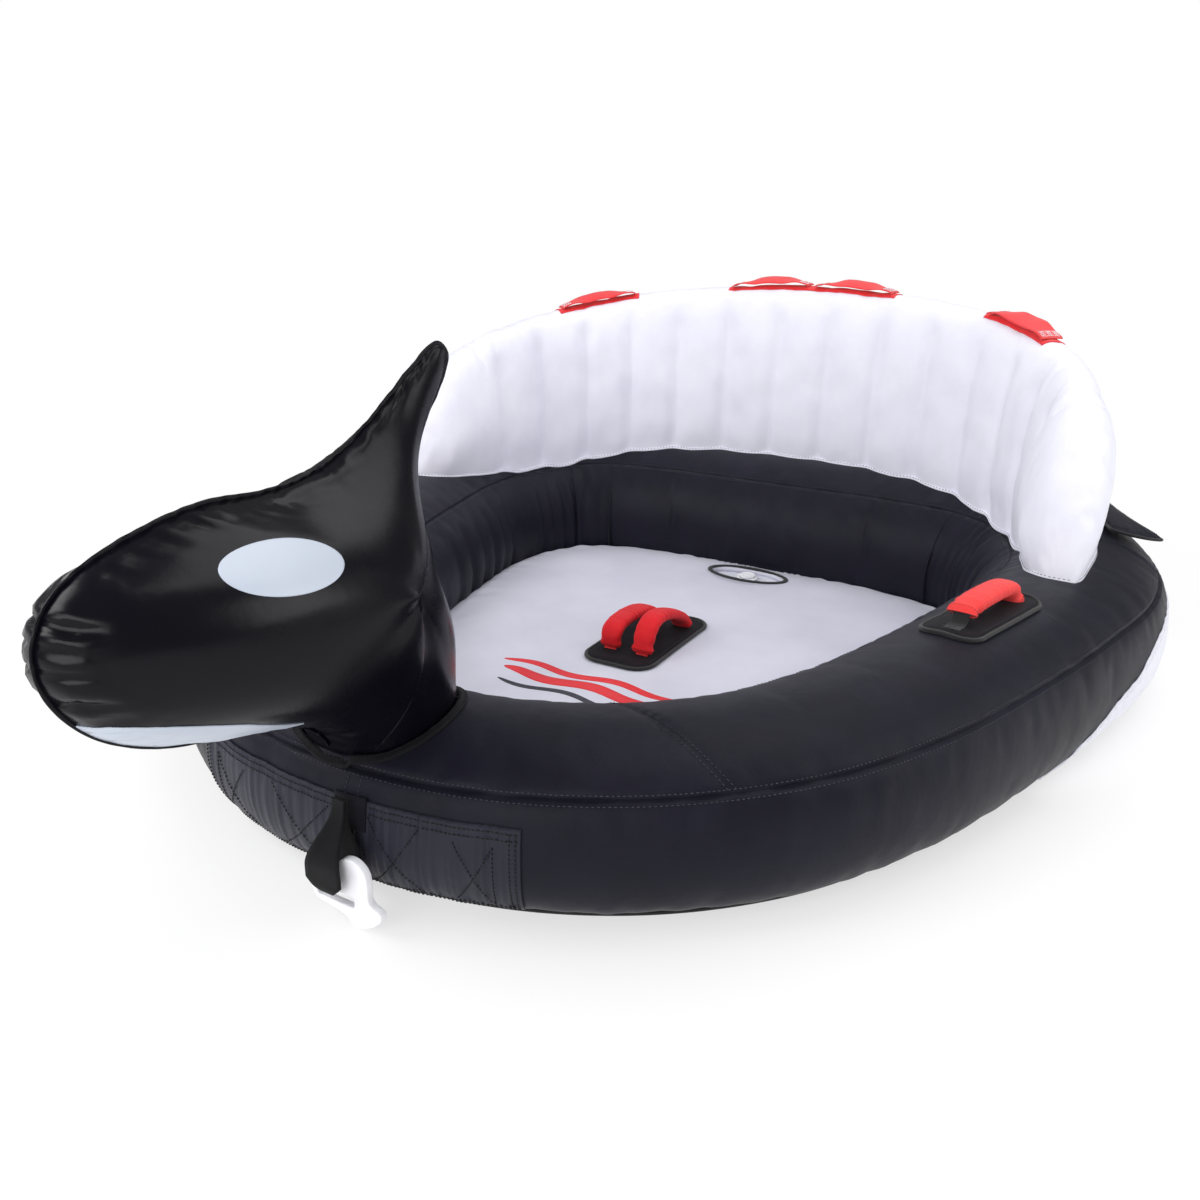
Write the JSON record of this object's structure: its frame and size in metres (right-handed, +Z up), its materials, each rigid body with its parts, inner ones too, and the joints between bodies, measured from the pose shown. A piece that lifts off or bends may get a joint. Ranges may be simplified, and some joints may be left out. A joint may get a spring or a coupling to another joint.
{
  "type": "towable tube",
  "caption": "Ride-in towable water tube: covered air ring with air floor, curved backrest, inflated whale head, tail flukes, grab handles and a front tow strap with a hook.",
  "frame": {"origin": "on the flat underside, in the middle plane, below the cockpit floor between the centre handles and the oval opening", "axes": "+Z up; -Y front, towards the head and the tow strap; +X port"},
  "size_m": [1.805, 2.2395, 0.719],
  "materials": {
    "dark_nylon": "woven, soft sheen",
    "white_nylon": "woven, soft sheen",
    "black_vinyl": "satin gloss, welded",
    "pale_vinyl": "satin, welded",
    "floor_vinyl": "matte sheet",
    "air_vinyl": "satin, welded",
    "black_webbing": "woven, matte",
    "red_webbing": "woven, matte",
    "red_sleeve": "woven, matte",
    "white_plastic": "moulded, satin",
    "valve_plastic": "moulded, satin",
    "zip_plastic": "moulded"
  },
  "bodies": {
    "tube": {"cover_outer_band": "dark_nylon", "cover_top_panel": "dark_nylon", "cover_inner_band": "dark_nylon", "cover_bottom_panel": "dark_nylon", "tow_reinforcement_port": "dark_nylon", "tow_reinforcement_starboard": "dark_nylon", "hull_patch_port": "white_nylon", "hull_patch_starboard": "white_nylon", "backrest_cover": "white_nylon", "whale_head": "black_vinyl", "eye_patch_port": "pale_vinyl", "eye_patch_starboard": "pale_vinyl", "chin_panel": "pale_vinyl", "floor_cover": "floor_vinyl", "main_bladder": "air_vinyl", "floor_bladder": "air_vinyl", "backrest_bladder": "air_vinyl", "bottom_piping": "black_webbing", "neck_hem": "black_webbing", "floor_opening_binding": "black_webbing", "centre_handle_pad": "black_webbing", "tow_anchor": "black_webbing", "zip_tape": "black_webbing", "side_handle_pad_port": "black_webbing", "side_handle_pad_starboard": "black_webbing", "backrest_strap_base_1": "red_webbing", "backrest_strap_base_2": "red_webbing", "backrest_strap_base_3": "red_webbing", "backrest_strap_base_4": "red_webbing", "main_valve_body": "valve_plastic", "floor_valve_body": "valve_plastic", "backrest_valve_body": "valve_plastic", "head_valve_body": "valve_plastic"},
    "tow_strap": {"tow_strap": "black_webbing"},
    "tow_hook": {"tow_hook": "white_plastic"},
    "backrest_strap_1": {"backrest_strap_1": "red_webbing"},
    "backrest_strap_2": {"backrest_strap_2": "red_webbing"},
    "backrest_strap_3": {"backrest_strap_3": "red_webbing"},
    "backrest_strap_4": {"backrest_strap_4": "red_webbing"},
    "side_handle_port": {"side_handle_webbing_port": "black_webbing", "side_handle_grip_port": "red_sleeve"},
    "side_handle_starboard": {"side_handle_webbing_starboard": "black_webbing", "side_handle_grip_starboard": "red_sleeve"},
    "centre_handle_port": {"centre_handle_webbing_port": "black_webbing", "centre_handle_grip_port": "red_sleeve"},
    "centre_handle_starboard": {"centre_handle_webbing_starboard": "black_webbing", "centre_handle_grip_starboard": "red_sleeve"},
    "main_valve_cap": {"main_valve_cap": "valve_plastic"},
    "floor_valve_cap": {"floor_valve_cap": "valve_plastic"},
    "backrest_valve_cap": {"backrest_valve_cap": "valve_plastic"},
    "head_valve_cap": {"head_valve_cap": "valve_plastic"},
    "zip_slider": {"zip_slider": "zip_plastic"},
    "zip_pull": {"zip_pull": "zip_plastic"},
    "tail_fluke_port": {"tail_fluke_port": "dark_nylon"},
    "tail_fluke_starboard": {"tail_fluke_starboard": "dark_nylon"}
  },
  "joints": [
    {"name": "tow_strap_swing", "type": "hinge", "parent": "tube", "child": "tow_strap", "pos_m": [0.05, -1.016, 0.174], "axis": [-1, 0, 0], "range_deg": [0, 85]},
    {"name": "tow_hook_swing", "type": "hinge", "parent": "tow_strap", "child": "tow_hook", "pos_m": [0.05, -1.035, 0.0485], "axis": [1, 0, 0], "range_deg": [-12, 12]},
    {"name": "backrest_strap_1_flop", "type": "hinge", "parent": "tube", "child": "backrest_strap_1", "pos_m": [-0.52045, 0.58291, 0.65938], "axis": [0.7254, 0.6658, 0.1748], "range_deg": [-18, 18]},
    {"name": "backrest_strap_2_flop", "type": "hinge", "parent": "tube", "child": "backrest_strap_2", "pos_m": [-0.10695, 0.73545, 0.70708], "axis": [0.9972, 0.0666, 0.0337], "range_deg": [-18, 18]},
    {"name": "backrest_strap_3_flop", "type": "hinge", "parent": "tube", "child": "backrest_strap_3", "pos_m": [0.10695, 0.73545, 0.70708], "axis": [0.9972, -0.0666, -0.0337], "range_deg": [-18, 18]},
    {"name": "backrest_strap_4_flop", "type": "hinge", "parent": "tube", "child": "backrest_strap_4", "pos_m": [0.52045, 0.58291, 0.65938], "axis": [0.7254, -0.6658, -0.1748], "range_deg": [-18, 18]},
    {"name": "side_handle_port_swing", "type": "hinge", "parent": "tube", "child": "side_handle_port", "pos_m": [0.64792, -0.16067, 0.28571], "axis": [0.2656, 0.9638, 0.0232], "range_deg": [-40, 40]},
    {"name": "side_handle_starboard_swing", "type": "hinge", "parent": "tube", "child": "side_handle_starboard", "pos_m": [-0.64792, -0.16067, 0.28571], "axis": [-0.2656, 0.9638, 0.0232], "range_deg": [-40, 40]},
    {"name": "centre_handle_port_swing", "type": "hinge", "parent": "tube", "child": "centre_handle_port", "pos_m": [0.035, -0.085, 0.0606], "axis": [0, 1, 0], "range_deg": [-5, 55]},
    {"name": "centre_handle_starboard_swing", "type": "hinge", "parent": "tube", "child": "centre_handle_starboard", "pos_m": [-0.035, -0.085, 0.0606], "axis": [0, 1, 0], "range_deg": [-55, 5]},
    {"name": "main_valve_cap_open", "type": "hinge", "parent": "tube", "child": "main_valve_cap", "pos_m": [-0.56569, 0.82625, 0.08755], "axis": [0.0719, -0.1033, -0.992], "range_deg": [0, 120]},
    {"name": "floor_valve_cap_open", "type": "hinge", "parent": "tube", "child": "floor_valve_cap", "pos_m": [-0.025, 0.428, 0.0422], "axis": [0, -1, 0], "range_deg": [0, 120]},
    {"name": "backrest_valve_cap_open", "type": "hinge", "parent": "tube", "child": "backrest_valve_cap", "pos_m": [-0.025, 0.8256, 0.40504], "axis": [0, 0, 1], "range_deg": [0, 120]},
    {"name": "head_valve_cap_open", "type": "hinge", "parent": "tube", "child": "head_valve_cap", "pos_m": [-0.13852, -0.86801, 0.32005], "axis": [-0.4159, -0.9094, 0.0021], "range_deg": [0, 120]},
    {"name": "zip_slide", "type": "slide", "parent": "tube", "child": "zip_slider", "axis": [1, 0, 0], "range_m": [0, 0.476]},
    {"name": "zip_pull_swing", "type": "hinge", "parent": "zip_slider", "child": "zip_pull", "pos_m": [-0.238, 0.88547, 0.14023], "axis": [1, 0, 0], "range_deg": [0, 120]},
    {"name": "tail_fluke_port_lift", "type": "hinge", "parent": "tube", "child": "tail_fluke_port", "pos_m": [0.772, 0.395, 0.279], "axis": [0.3662, -0.9305, 0], "range_deg": [0, 60]},
    {"name": "tail_fluke_starboard_lift", "type": "hinge", "parent": "tube", "child": "tail_fluke_starboard", "pos_m": [-0.772, 0.395, 0.279], "axis": [0.3662, 0.9305, 0], "range_deg": [0, 60]}
  ]
}
